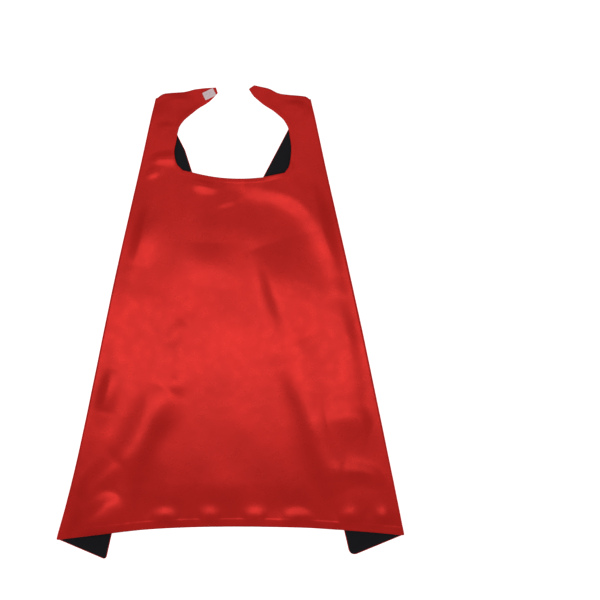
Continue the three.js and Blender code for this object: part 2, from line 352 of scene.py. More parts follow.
class Side:
    """One side of the cape. Its fold line and pivot come from the CAD joints."""

    def __init__(self, name, hand, shape):
        self.name = name
        fold = JOINTS[name + "_side_fold"]
        axis = np.array(fold["axis"][:2])
        self.down = unit(axis if axis[1] < 0 else -axis)
        self.inward = hand * np.array([-self.down[1], self.down[0]])
        self.corner = np.array(fold["pos_m"][:2]) / MM - FOLD_MARK * self.down
        pivot = np.array(JOINTS[name + "_arm_swing"]["pos_m"][:2]) / MM - self.corner
        self.hand = hand
        self.split = float(pivot @ self.down)
        self.flap = float(pivot @ self.inward)
        self.shape = shape
        self.length = shape["length"]
        self.shoulder_down = shape["fold_ribs"][-1][0]

    def at(self, down, across):
        down, across = np.broadcast_arrays(np.asarray(down, float), np.asarray(across, float))
        return self.corner + down[..., None] * self.down + across[..., None] * self.inward

    def places(self, xy):
        """Down and across of points."""
        return (xy - self.corner) @ self.down, (xy - self.corner) @ self.inward

    def bow(self, down):
        """How far the fold swings out of line below the split line."""
        swings = np.array(self.shape["bow"], float)[:, None]
        share = np.clip((down - self.split) / (self.length - self.split), 0, 1)
        return spline(swings, share * (len(swings) - 1))[..., 0]

    def flap_width(self, down):
        """The width of the flap above the split line."""
        edge = np.array(self.shape["flap_edge"] + [(self.split, self.flap)], float)
        return np.interp(down, edge[:, 0], edge[:, 1])


LEFT = Side("left", 1, LEFT_SHAPE)
RIGHT = Side("right", -1, RIGHT_SHAPE)
SIDES = (LEFT, RIGHT)
MIDDLE_X = LEFT.corner[0] + LEFT.shape["shoulder"]
HEM_Y = LEFT.at(LEFT.length, 0)[1] + LEFT.shape["hem_dip"]


def spline(points, t):
    """Catmull-Rom through points; t counts points."""
    points = np.asarray(points, float)
    ends = np.vstack([2 * points[0] - points[1], points, 2 * points[-1] - points[-2]])
    i = np.clip(np.floor(t).astype(int), 0, len(points) - 2)
    u = (t - i)[..., None]
    a, b, c, d = (ends[i + k] for k in range(4))
    cubic = (3 * b - a - 3 * c + d) * u**3 + (2 * a - 5 * b + 4 * c - d) * u**2 + (c - a) * u + 2 * b
    return cubic / 2


def line_distance(xy, line):
    """Distance from points to a polyline, how far along it the nearest place is, from 0 to 1, and
    the side: 1 on the left of the line's run, -1 on the right, and between them past its ends."""
    flat = xy.reshape(-1, 2)
    best = np.full(len(flat), 1e9)
    along = np.zeros(len(flat))
    side = np.zeros(len(flat))
    steps = np.hypot(*(line[1:] - line[:-1]).T)
    total = steps.sum()
    start = 0.0
    for a, b, step in zip(line[:-1], line[1:], steps):
        t = np.clip(((flat - a) @ (b - a)) / max(step * step, 1e-9), 0, 1)
        gap = np.hypot(*(flat - a - t[:, None] * (b - a)).T)
        nearer = gap < best
        best[nearer] = gap[nearer]
        along[nearer] = (start + t[nearer] * step) / total
        turn = (b - a)[0] * (flat - a)[:, 1] - (b - a)[1] * (flat - a)[:, 0]
        side[nearer] = (turn / np.maximum(step * gap, 1e-9))[nearer]
        start += step
    return tuple(values.reshape(xy.shape[:-1]) for values in (best, along, side))


# ---- Outlines ----


def neck_bottom(t):
    """The neck edge of the back, between the two pivots."""
    ends = [side.at(side.split, side.flap) for side in SIDES]
    points = lerp(ends[0], ends[1], np.asarray(t, float)[..., None])
    points[..., 1] -= NECK_SAG * 4 * t * (1 - t)
    return points


def hem_point(share):
    ends = [side.at(side.length, -side.bow(side.length)) for side in SIDES]
    x = lerp(ends[0][0], ends[1][0], share)
    reach = np.where(x < MIDDLE_X, MIDDLE_X - ends[0][0], ends[1][0] - MIDDLE_X)
    dip = np.where(x < MIDDLE_X, HEM_Y - ends[0][1], HEM_Y - ends[1][1])
    return np.stack([x, HEM_Y - dip * (np.abs(x - MIDDLE_X) / reach) ** HEM_BEND], -1)


class Arm:
    """The outer and neck edges of an arm, as functions of a rib count from the split line."""

    def __init__(self, side):
        shape = side.shape
        self.side = side
        self.fold_downs = [side.split] + [down for down, _ in shape["fold_ribs"]]
        self.shoulder = len(self.fold_downs) - 1
        self.tab = [(side.shoulder_down, 0.0)] + [outer for outer, _ in shape["tab_ribs"]]
        self.neck = [(side.split, shape["neck_corner"])]
        self.neck += [neck for _, neck in shape["fold_ribs"] + shape["tab_ribs"]]
        self.last = len(self.neck) - 1

    def outer_edge(self, t):
        on_fold = np.interp(t, range(self.shoulder + 1), self.fold_downs)
        on_fold = np.stack([on_fold, 0 * on_fold], -1)
        on_tab = spline(self.tab, np.maximum(t - self.shoulder, 0))
        return np.where((t <= self.shoulder)[..., None], on_fold, on_tab)

    def neck_edge(self, t):
        return spline(self.neck, t)

    def count_at(self, down):
        """The rib count where the fold is this far down."""
        return np.interp(-np.asarray(down), -np.array(self.fold_downs), range(self.shoulder + 1))


ARMS = {side: Arm(side) for side in SIDES}


def upper_seams():
    """The seam edges of the upper layer: the hem, the neck edge and the edges of both tabs."""
    lines = [hem_point(np.linspace(0, 1, 120)), neck_bottom(np.linspace(0, 1, 40))]
    for side, arm in ARMS.items():
        neck = arm.neck_edge(np.linspace(0, arm.last, 90))
        tab = arm.outer_edge(np.linspace(arm.shoulder, arm.last, 60))
        edge = np.vstack([[(side.split, side.flap)], neck, tab[::-1]])
        lines.append(side.at(edge[:, 0], edge[:, 1]))
    return lines


def rounded_corner(before, corner, after, radius):
    """The points of an arc that takes a corner's place."""
    start = corner + unit(before - corner) * radius
    end = corner + unit(after - corner) * radius
    angle = np.linspace(0, 1, 8)[:, None] * math.pi / 2
    return corner + (start - corner) * (1 - np.sin(angle)) + (end - corner) * (1 - np.cos(angle))


def flap_points(side):
    """Head, corner and foot of the flap below the split line."""
    head = side.at(side.split, side.flap)
    corner = side.at(side.length + side.shape["flap_dip"], side.shape["flap_hem"])
    foot = side.at(side.length, -side.bow(side.length))
    return head, corner, foot


def under_seam(side):
    """The seam edge of the layer folded under, from the shoulder round to the foot of the fold."""
    head, corner, foot = flap_points(side)
    above = np.array(side.shape["flap_edge"], float)
    arc = rounded_corner(head, corner, foot, side.shape["flap_round"])
    return np.vstack([side.at(above[:, 0], above[:, 1]), [head], arc, [foot]])


UPPER_SEAMS = upper_seams()
HEM_LINE = UPPER_SEAMS[0]
UNDER_SEAMS = {side: under_seam(side) for side in SIDES}

# ---- Height and thickness ----


def hem_swells():
    """Low swells along the hem, each by its middle and half length."""
    low, high = SWELL_START, SWELL_START + SWELL_RISE
    return [
        ([(x - half, low), (x, high), (x + half, low)], SWELL_HEIGHT, *SWELL_HALVES)
        for x, half in SWELL_REACHES
    ]


FOLDS = LONG_CREASES + SHOULDER_DRAPES + SIDE_FOLDS + CORNER_FANS + NECK_DENTS + hem_swells()


class Relief:
    """Heights on a square grid, read smoothly between its points."""

    STEP = 2.5
    MARGIN = 20.0

    def __init__(self):
        lines = np.vstack(UPPER_SEAMS)
        self.low = lines.min(0) - self.MARGIN
        count = np.ceil((lines.max(0) + self.MARGIN - self.low) / self.STEP).astype(int)
        x = self.low[0] + self.STEP * np.arange(count[0])
        y = self.low[1] + self.STEP * np.arange(count[1])
        xy = np.stack(np.meshgrid(x, y), -1)
        self.values = self.ridges(xy) + self.ripples(xy) + self.puckers(xy)

    @staticmethod
    def ridges(xy):
        """The soft ridges, each fading out at its ends."""
        origin = np.array([MIDDLE_X, HEM_Y])
        height = np.zeros(xy.shape[:-1])
        for points, tall, left_half, right_half in FOLDS:
            line = spline(np.array(points) + origin, np.linspace(0, len(points) - 1, RIDGE_STEPS))
            gap, along, side = line_distance(xy, line)
            half = lerp(right_half, left_half, (side + 1) / 2)
            ends = np.sin(math.pi * np.clip(along, *RIDGE_ENDS)) ** RIDGE_TAPER
            height += tall * ends * np.exp(-((gap / half) ** 2))
        return height

    @staticmethod
    def ripples(xy):
        """Gentle waves all over, the same on every run."""
        draw = np.random.default_rng(11)
        height = np.zeros(xy.shape[:-1])
        for _ in range(RIPPLES):
            heading = draw.uniform(0, 2 * math.pi)
            turn = 2 * math.pi / draw.uniform(*RIPPLE_LENGTHS)
            phase = draw.uniform(0, 2 * math.pi)
            run = xy[..., 0] * math.cos(heading) + xy[..., 1] * math.sin(heading)
            height += np.sin(turn * run + phase)
        return RIPPLE_HEIGHT * height

    @staticmethod
    def puckers(xy):
        """Small ripples across the hem allowance, where the seam draws the satin in."""
        gap, along, _ = line_distance(xy, HEM_LINE)
        draw = np.random.default_rng(5)
        run = along * np.hypot(*(HEM_LINE[1:] - HEM_LINE[:-1]).T).sum()
        wave = np.zeros(xy.shape[:-1])
        for wavelength in PUCKER_LENGTHS:
            wave += np.sin(2 * math.pi * run / wavelength + draw.uniform(0, 6))
        return PUCKER_HEIGHT * wave * np.exp(-(((gap - PUCKER_MIDDLE) / PUCKER_REACH) ** 2))

    @staticmethod
    def weights(t):
        """Catmull-Rom weights of the four points round a place."""
        return (
            (-(t**3) + 2 * t**2 - t) / 2,
            (3 * t**3 - 5 * t**2 + 2) / 2,
            (-3 * t**3 + 4 * t**2 + t) / 2,
            (t**3 - t**2) / 2,
        )

    def read(self, xy):
        place = (xy - self.low) / self.STEP
        cell = np.clip(np.floor(place).astype(int), 1, np.array(self.values.shape[::-1]) - 3)
        share = place - cell
        across = self.weights(share[..., 0])
        along = self.weights(share[..., 1])
        total = 0
        for j in range(4):
            for i in range(4):
                value = self.values[cell[..., 1] + j - 1, cell[..., 0] + i - 1]
                total = total + across[i] * along[j] * value
        return total


RELIEF = Relief()


def lift(height):
    """Keeps a relief from going under the layer it lies on, without a crease."""
    soft = 0.8
    return (height + np.sqrt(height * height + soft * soft) - soft / 2) / 2


def layout_fall(xy, side):
    """The share of the way down to the table. side is the arm the points are in, or None."""
    if side is RIGHT:
        return np.zeros(xy.shape[:-1])
    if side is LEFT:
        down, across = LEFT.places(xy)
        corner = np.array(LEFT.shape["flap_edge"][-1])
        past = (across * corner[0] - down * corner[1]) / np.hypot(*corner) - FALL_START
        return smooth(past, 0, TAB_FALL)
    past = [s.places(xy)[1] - max(s.flap, s.shape["flap_hem"]) - FALL_START for s in SIDES]
    return smooth(np.minimum(*past), 0, BACK_FALL)


def hem_gap(xy):
    """About how far above the hem a point is."""
    reach = np.abs(xy[..., 0] - MIDDLE_X) / LEFT.shape["shoulder"]
    return xy[..., 1] - HEM_Y + LEFT.shape["hem_dip"] * (reach / HEM_FLARE) ** HEM_BEND


def upper_height(xy, side):
    """The height of the middle of the cloth in the upper layer, before its seam allowances."""
    (left_down, left_across), (right_down, right_across) = LEFT.places(xy), RIGHT.places(xy)
    across = np.minimum(left_across, right_across)
    down = np.minimum(left_down, right_down)
    near_corner = np.minimum(np.hypot(left_down, left_across), np.hypot(right_down, right_across))
    fold_calm = lerp(FOLD_CALM, 1, smooth(across, 0, FOLD_CALM_RUN))
    shoulder_calm = lerp(SHOULDER_CALM, 1, smooth(down, *SHOULDER_CALM_RUN))
    calm = fold_calm * shoulder_calm * clear_of_tapes(xy)
    base = TOP - CLOTH / 2 - layout_fall(xy, side) * (TOP - CLOTH)
    base = base - PINCH * (1 - smooth(near_corner, 0, PINCH_RUN))
    puff = PUFF * smooth(hem_gap(xy), 0, PUFF_RUN) * smooth(down - LEFT.split, 0, PUFF_RUN)
    puff = 0.0 if side else puff
    return base + (lift(RELIEF.read(xy)) + puff * layout_fall(xy, side)) * calm


def clear_of_tapes(xy):
    """0 at a closing tape, where the cloth is flat, and 1 away from it."""
    gaps = [np.hypot(*np.moveaxis(xy - side.at(*side.shape["tape"]), -1, 0)) for side in SIDES]
    return smooth(np.minimum(*gaps), *TAPE_CALM_RUN)


def allowance(xy, hem, edge):
    """How much thicker each face is over the seam allowances."""
    over = np.maximum(
        1 - smooth(hem, HEM_ALLOWANCE - ALLOWANCE_RAMP, HEM_ALLOWANCE + ALLOWANCE_RAMP),
        EDGE_PRESS * (1 - smooth(edge, EDGE_ALLOWANCE - ALLOWANCE_RAMP, EDGE_ALLOWANCE + ALLOWANCE_RAMP)),
    )
    return ALLOWANCE_STEP * over * clear_of_tapes(xy)


def rounding(gap):
    return np.sqrt(1 - (1 - np.clip(gap / EDGE_ROUND, 0, 1)) ** 2)


def upper_surface(xy, side=None):
    """Mid-surface points, normals and half thicknesses of the upper layer. side is an arm's, or None."""
    step = 0.5
    hem = line_distance(xy, HEM_LINE)[0]
    edge = np.minimum.reduce([line_distance(xy, line)[0] for line in UPPER_SEAMS[1:]])
    thicker = allowance(xy, hem, edge)
    z = upper_height(xy, side) + thicker
    dx, dy = (
        (upper_height(xy + offset, side) - upper_height(xy - offset, side)) / (2 * step)
        for offset in (np.array([step, 0]), np.array([0, step]))
    )
    normal = unit(np.stack([-dx, -dy, np.ones_like(dx)], -1))
    half = (CLOTH / 2 + thicker) * rounding(np.minimum(hem, edge))
    return np.concatenate([xy, z[..., None]], -1), normal, half


def under_surface(side, xy):
    """The same for the layer folded under, whose outer face is down."""
    gap = line_distance(xy, UNDER_SEAMS[side])[0]
    thicker = allowance(xy, 1e3, gap)
    z = CLOTH / 2 + thicker
    normal = np.broadcast_to([0.0, 0.0, -1.0], xy.shape[:-1] + (3,))
    return np.concatenate([xy, z[..., None]], -1), normal, (CLOTH / 2 + thicker) * rounding(gap)


def roll_surface(side, down, angles):
    """The same round a side fold, from 90 degrees on its top to -90 underneath."""
    start = side.at(down, -side.bow(down))
    arm = side if down.mean() < side.split else None
    top, top_normal, top_half = upper_surface(start, arm)
    low, _, low_half = under_surface(side, start)
    centre = (top[..., 2] + low[..., 2]) / 2
    radius = (top[..., 2] - low[..., 2]) / 2
    turn = np.radians(angles)
    share = (np.asarray(angles) + 90) / 180
    out = -side.bow(down)[:, None] - radius[:, None] * np.cos(turn)
    height = centre[:, None] + radius[:, None] * np.sin(turn)
    xy = side.at(down[:, None], out)
    level = -side.inward * np.cos(turn)[:, None]
    radial = np.concatenate([level, np.sin(turn)[:, None]], -1)
    lean = (top_normal - [0, 0, 1])[:, None] * (np.maximum(np.sin(turn), 0) ** 2)[:, None]
    half = lerp(low_half[:, None], top_half[:, None], share)
    return np.concatenate([xy, height[..., None]], -1), unit(radial + lean), half, radius


# ---- Patches ----

OUTER, LINING = "outer", "lining"
FACE = {OUTER: 1, LINING: -1}
ROLL_ABOVE = range(90, -1, -15)  # degrees round a side fold, from its top
ROLL_BELOW = range(0, -91, -15)
ROLL_ROUND = range(90, -91, -15)
# From a seam inwards: share of EDGE_ROUND and face. The outer ply starts just under the edge.
SEAM = {
    OUTER: [(0.9, -1), (0.5, -1), (0.134, -1), (0.0, 1), (0.134, 1), (0.5, 1), (1.0, 1)],
    LINING: [(0.9, -1), (1.1, -1), (1.4, -1)],
}
NEAR_HEM = [2.6, 4.4, 6.4, 8.4, 10, 11, 12, 13, 14, 15.2, 17.2]
NEAR_EDGE = [2.4, 3.6, 4.8, 5.7, 6.6, 7.5, 8.6, 10.2]


class Ply:
    """All the patches of one ply, each with its owner's name."""

    def __init__(self, kind):
        self.kind = kind
        self.face = FACE[kind]
        self.points = []
        self.flats = []
        self.quads = []
        self.owners = []
        self.count = 0

    def insets(self, seam, near=()):
        """Distances in from an edge, and their faces. Without a seam all are on the ply's own face."""
        table = np.array(SEAM[self.kind])
        gaps = table[:, 0] * EDGE_ROUND
        faces = table[:, 1] if seam else np.full(len(gaps), self.face)
        if not seam:
            gaps = np.where(table[:, 1] == self.face, gaps, 0)
            gaps[0] = 0
        return np.concatenate([gaps, near]), np.concatenate([faces, np.full(len(near), self.face)])

    def add(self, owner, surface, face, flat):
        """A grid of points on one face of a mid-surface."""
        middle, normal, half = surface[:3]
        points = middle + normal * (half * face)[..., None]
        rows, columns = points.shape[:2]
        index = np.arange(rows * columns).reshape(rows, columns) + self.count
        quads = np.stack([index[:-1, :-1], index[:-1, 1:], index[1:, 1:], index[1:, :-1]], -1)
        diagonals = points[1:, 1:] - points[:-1, :-1], points[1:, :-1] - points[:-1, 1:]
        facing = np.cross(*diagonals) * normal[:-1, :-1] * face[:-1, :-1, None]
        if facing.sum() < 0:
            quads = quads[..., ::-1]
        self.points.append(points.reshape(-1, 3))
        self.flats.append(flat.reshape(-1, 2))
        self.quads.append(quads.reshape(-1, 4))
        self.owners.append(np.full(quads.size // 4, owner))
        self.count += rows * columns


def ladder(start, end, cell):
    """Even steps between two distances, without the ends."""
    count = max(int(round((end - start) / cell)), 1)
    return np.linspace(start, end, count + 1)[1:-1]


def back_rows(ply, length):
    """Distances down from the top edge of the back, with the faces of the seam rows."""
    top_gaps, top_faces = ply.insets(True, NEAR_EDGE)
    hem_gaps, hem_faces = ply.insets(True, NEAR_HEM)
    between = ladder(top_gaps[-1], length - hem_gaps[-1], CELL)
    share = (between - top_gaps[-1]) / (length - hem_gaps[-1] - top_gaps[-1])
    faces = np.concatenate([top_faces, np.full(len(between), ply.face), hem_faces[::-1]])
    return top_gaps, share, hem_gaps[::-1], faces


def neck_columns(ply):
    """Distances in from a seam, on the ply's own face."""
    gaps, faces = ply.insets(True, NEAR_EDGE)
    keep = faces == ply.face
    return gaps[keep]


def arm_columns(ply, width):
    """Distances across an arm from its outer edge, on the ply's own face."""
    plain_gaps, _ = ply.insets(False, NEAR_EDGE)
    gaps = neck_columns(ply)
    middle = ladder(gaps[-1], width - gaps[-1], FINE_CELL)
    return np.concatenate([np.unique(plain_gaps), middle, width - gaps[::-1]])


def add_back(ply):
    """The back from fold to fold, and the upper quarter of each side fold."""
    joins = {}
    for side in SIDES:
        width = side.shape["neck_corner"]
        joins[side] = side.at(side.split, arm_columns(ply, width))
    left = side_run(LEFT, neck_columns(ply))
    right = side_run(RIGHT, neck_columns(ply))
    inner = neck_bottom(np.linspace(0, 1, 62))
    top = np.vstack([joins[LEFT], left, inner, right[::-1], joins[RIGHT][::-1]])
    on_neck = np.zeros(len(top), bool)
    on_neck[len(joins[LEFT]) : len(top) - len(joins[RIGHT])] = True
    share = (top[:, 0] - top[0, 0]) / (top[-1, 0] - top[0, 0])
    hem = hem_point(share)
    length = np.hypot(*(hem - top).T)
    top_gaps, between, hem_gaps, faces = back_rows(ply, length.mean())
    plain_gaps, _ = ply.insets(False, NEAR_EDGE)
    start = np.where(on_neck, top_gaps[:, None], plain_gaps[:, None])
    end = length - hem_gaps[:, None]
    middle = lerp(start[-1], end[0], between[:, None])
    downs = np.vstack([start, middle, end])
    face = np.repeat(faces[:, None], len(top), 1)
    face[: len(top_gaps), ~on_neck] = ply.face
    xy = lerp(top, hem, (downs / length)[..., None])
    drop = downs / length
    for side, weight in ((LEFT, 1 - share), (RIGHT, share)):
        down = side.split + downs
        off = side.bow(down) - side.bow(side.length) * drop
        xy = xy - side.inward * (off * weight)[..., None]
    ply.add("back", upper_surface(xy), face, xy)
    for side, column in ((LEFT, 0), (RIGHT, -1)):
        down = side.split + downs[:, column]
        add_roll(ply, side, down, face[:, column], "back", ROLL_ABOVE)
        add_roll(ply, side, down, face[:, column], side.name + "_flap", ROLL_BELOW)
        add_flap(ply, side, down, face[:, column])


def side_run(side, gaps):
    """Points along the split line past the neck corner, up to the pivot."""
    first = side.shape["neck_corner"]
    beyond = ladder(first + gaps[-1], side.flap, FINE_CELL)
    across = np.concatenate([first + gaps[1:], beyond])
    return side.at(side.split, across)


def add_roll(ply, side, down, face, owner, angles):
    surface = roll_surface(side, down, angles)
    radius = surface[-1]
    arc = radius[:, None] * np.radians(90 - np.array(angles))
    flat = side.at(down[:, None], -side.bow(down)[:, None] - arc)
    ply.add(owner, surface, np.repeat(face[:, None], len(angles), 1), flat)


def under_columns(ply, width):
    """Distances across the folded layer, with the faces of the seam columns. Narrow rows bunch up."""
    gaps, faces = ply.insets(True, NEAR_EDGE)
    between = ladder(0, 1, CELL / FLAP_WIDTH)
    start = np.zeros((len(width), 1))
    end = np.maximum(width[:, None] - gaps[::-1], 0)
    middle = lerp(0, end[:, :1], between)
    face = np.concatenate([np.full(len(between) + 1, ply.face), faces[::-1]])
    return np.hstack([start, middle, end]), face


def add_flap(ply, side, down, row_face):
    head, corner, foot = flap_points(side)
    share = (down - side.split) / (side.length - side.split)
    inner = side.at(down, -side.bow(down))
    outer = lerp(head, corner, share[:, None])
    width = np.hypot(*(outer - inner).T)
    columns, column_face = under_columns(ply, width)
    columns, row_gap = round_corner(side, columns, width, side.length - down)
    xy = lerp(inner[:, None], outer[:, None], (columns / width[:, None])[..., None])
    slope = unit(head - corner)
    xy = xy + slope * row_gap[..., None]
    face = np.minimum(row_face[:, None], column_face) if ply.face > 0 else -np.ones(columns.shape)
    add_under(ply, side, xy, face, side.name + "_flap")


def round_corner(side, columns, width, from_hem):
    """Moves points near the flap's corner so that it is round. Returns the columns and moves up."""
    radius = side.shape["flap_round"]
    a = np.clip(1 - from_hem / radius, 0, 1)[:, None]
    b = np.clip(1 - (width[:, None] - columns) / radius, 0, 1)
    near = b * np.sqrt(1 - a * a / 2)
    up = a * (1 - np.sqrt(1 - b * b / 2))
    moved = np.where(b > 0, width[:, None] - radius * (1 - near), columns)
    return moved, radius * up


def add_under(ply, side, xy, face, owner):
    surface = under_surface(side, xy)
    down, across = side.places(xy)
    flat = side.at(down, -across - math.pi * (TOP - CLOTH) / 2)
    ply.add(owner, surface, face, flat)


def arm_rows(ply, side):
    """Rib counts up an arm, along the fold and then the tab, their faces, and places on the fold."""
    arm = ARMS[side]
    gaps = neck_columns(ply)
    fold = ladder(0, side.split - side.shoulder_down - gaps[-1], FINE_CELL)
    fold = np.concatenate([[0], fold, side.split - side.shoulder_down - gaps[::-1]])
    fold_downs = side.split - fold
    fold_counts = arm.count_at(fold_downs)
    dense = np.linspace(arm.shoulder, arm.last, 400)
    centre = (arm.outer_edge(dense) + arm.neck_edge(dense)) / 2
    run = np.concatenate([[0], np.cumsum(np.hypot(*(centre[1:] - centre[:-1]).T))])
    end_gaps, end_faces = ply.insets(True, NEAR_EDGE)
    tab = np.concatenate([ladder(0, run[-1] - end_gaps[-1], FINE_CELL), run[-1] - end_gaps[::-1]])
    tab_counts = np.interp(tab, run, dense)
    counts = np.concatenate([fold_counts, tab_counts])
    faces = np.full(len(counts), ply.face, float)
    faces[-len(end_faces) :] = end_faces[::-1]
    return counts, faces, fold_downs


def add_arm(ply, side):
    """An arm: its upper layer with the tab, its side fold and the sector folded under."""
    arm = ARMS[side]
    owner = side.name + "_arm"
    counts, row_face, fold_downs = arm_rows(ply, side)
    outer, neck = arm.outer_edge(counts), arm.neck_edge(counts)
    width = np.hypot(*(neck - outer).T)
    seam_gaps, seam_faces = ply.insets(True, NEAR_EDGE)
    plain_gaps, plain_faces = ply.insets(False, NEAR_EDGE)
    on_tab = counts > arm.shoulder
    room = 2.4 * seam_gaps[-1]  # for the seams of both edges
    squeeze = np.minimum(1, width / room)[:, None]
    start = np.where(on_tab[:, None], seam_gaps, plain_gaps) * squeeze
    end = width[:, None] - seam_gaps[::-1] * squeeze
    steps = ladder(seam_gaps[-1], side.shape["neck_corner"] - seam_gaps[-1], FINE_CELL)
    share = (steps - seam_gaps[-1]) / (side.shape["neck_corner"] - 2 * seam_gaps[-1])
    middle = lerp(start[:, -1:], end[:, :1], share)
    columns = np.hstack([start, middle, end])
    start_face = np.where(on_tab[:, None], seam_faces, plain_faces)
    face = np.hstack([
        start_face,
        np.full(middle.shape, ply.face),
        np.repeat(seam_faces[::-1][None], len(counts), 0),
    ])
    face = np.where(row_face[:, None] == ply.face, face, row_face[:, None])
    places = lerp(outer[:, None], neck[:, None], (columns / width[:, None])[..., None])
    xy = side.at(places[..., 0], places[..., 1])
    ply.add(owner, upper_surface(xy, side), face, xy)
    end_gaps, end_faces = ply.insets(True)
    inside = fold_downs > side.shoulder_down + EDGE_ROUND + 1e-6
    downs = np.concatenate([fold_downs[inside], side.shoulder_down + end_gaps[::-1]])
    faces = np.concatenate([np.full(len(downs) - len(end_gaps), ply.face), end_faces[::-1]])
    add_roll(ply, side, downs, faces, owner, ROLL_ROUND)
    sector = side.flap_width(downs)
    columns, column_face = under_columns(ply, sector)
    face = np.minimum(faces[:, None], column_face) if ply.face > 0 else -np.ones(columns.shape)
    add_under(ply, side, side.at(downs[:, None], columns), face, owner)


# ---- Pieces ----


def weld(points, tolerance=0.02):
    """Joins points in the same place. Returns the kept points and where each old one went."""
    keys = np.round(points / tolerance).astype(np.int64)
    _, first, where = np.unique(keys, axis=0, return_index=True, return_inverse=True)
    return points[first], first, where.reshape(-1)


def tidy_faces(quads):
    """Turns quads with a side of no length into triangles, and drops those with no area."""
    faces = []
    keep = []
    for number, quad in enumerate(quads.tolist()):
        face = [v for i, v in enumerate(quad) if v != quad[i - 1]]
        if len(set(face)) == len(face) >= 3:
            faces.append(face)
            keep.append(number)
    return faces, np.array(keep)


def vertex_normals(points, quads):
    normal = np.cross(points[quads[:, 2]] - points[quads[:, 0]], points[quads[:, 3]] - points[quads[:, 1]])
    total = np.zeros_like(points)
    for k in range(4):
        np.add.at(total, quads[:, k], normal)
    return unit(total)


def build_pieces(ply):
    """Cuts the welded ply into one closed thin shell for each owner."""
    points, first, where = weld(np.vstack(ply.points))
    flats = np.vstack(ply.flats)
    quads = where[np.vstack(ply.quads)]
    flat_quads = flats[np.vstack(ply.quads)]
    normals = vertex_normals(points, quads)
    owners = np.concatenate(ply.owners)
    pieces = {}
    for owner in dict.fromkeys(owners.tolist()):
        mine = owners == owner
        faces, keep = tidy_faces(quads[mine])
        pieces[owner] = shell(f"{owner}_{ply.kind}_satin", points, normals, faces, flats[first])
        area = flat_area(flat_quads[mine])
        span = np.ptp(flat_quads[mine].reshape(-1, 2), axis=0)
        pieces[owner]["flat_area"] = area * MM * MM
        pieces[owner]["flat_size"] = list(span * MM)
    return pieces


def flat_area(quads):
    a = quads[:, 2] - quads[:, 0]
    b = quads[:, 3] - quads[:, 1]
    return float(np.abs(a[:, 0] * b[:, 1] - a[:, 1] * b[:, 0]).sum() / 2)


def shell(name, points, normals, faces, flats):
    """A closed shell, SKIN thick, behind the given faces."""
    used = np.unique(np.concatenate([np.array(f) for f in faces]))
    new = np.full(len(points), -1)
    new[used] = np.arange(len(used))
    count = len(used)
    front = [[int(new[v]) for v in face] for face in faces]
    back = [[v + count for v in reversed(face)] for face in front]
    edges = {}
    for face in front:
        for i, v in enumerate(face):
            edges[(face[i - 1], v)] = True
    rim = [[a + count, b + count, b, a][::-1] for a, b in edges if (b, a) not in edges]
    outside = points[used]
    inside = outside - normals[used] * SKIN
    mesh = bpy.data.meshes.new(name)
    mesh.from_pydata(np.vstack([outside, inside]) * MM, [], front + back + rim)
    mesh.validate()
    layer = mesh.uv_layers.new(name="flat")
    loops = np.zeros(len(mesh.loops), int)
    mesh.loops.foreach_get("vertex_index", loops)
    both = np.vstack([flats[used], flats[used]]) * MM
    layer.data.foreach_set("uv", both[loops].astype(np.float32).ravel())
    mesh.polygons.foreach_set("use_smooth", np.ones(len(mesh.polygons), bool))
    mesh.normals_split_custom_set_from_vertices(np.vstack([normals[used], -normals[used]]).tolist())
    piece = bpy.data.objects.new(name, mesh)
    bpy.context.collection.objects.link(piece)
    return piece


def make_ply(kind):
    ply = Ply(kind)
    add_back(ply)
    for side in SIDES:
        add_arm(ply, side)
    return build_pieces(ply)


# ---- Materials ----


def new_material(name):
    material = bpy.data.materials.new(name)
    material.use_nodes = True
    nodes = material.node_tree.nodes
    return material, nodes, material.node_tree.links, nodes["Principled BSDF"]


def noise(nodes, links, where, scale, detail=2.0, roughness=0.5):
    node = nodes.new("ShaderNodeTexNoise")
    node.inputs["Scale"].default_value = scale
    node.inputs["Detail"].default_value = detail
    node.inputs["Roughness"].default_value = roughness
    links.new(where, node.inputs["Vector"])
    return node.outputs["Fac"]


def span(nodes, links, value, low, high):
    """A 0 to 1 value spread between two numbers."""
    node = nodes.new("ShaderNodeMapRange")
    node.inputs["From Min"].default_value = 0.3
    node.inputs["From Max"].default_value = 0.7
    node.inputs["To Min"].default_value = low
    node.inputs["To Max"].default_value = high
    links.new(value, node.inputs["Value"])
    return node.outputs["Result"]


def blend_colours(nodes, links, value, dark, light):
    mix = nodes.new("ShaderNodeMix")
    mix.data_type = "RGBA"
    mix.inputs["A"].default_value = (*dark, 1)
    mix.inputs["B"].default_value = (*light, 1)
    links.new(span(nodes, links, value, 0, 1), mix.inputs["Factor"])
    return mix.outputs["Result"]


def bump(nodes, links, height, strength, metres):
    node = nodes.new("ShaderNodeBump")
    node.inputs["Strength"].default_value = strength
    node.inputs["Distance"].default_value = metres
    links.new(height, node.inputs["Height"])
    return node


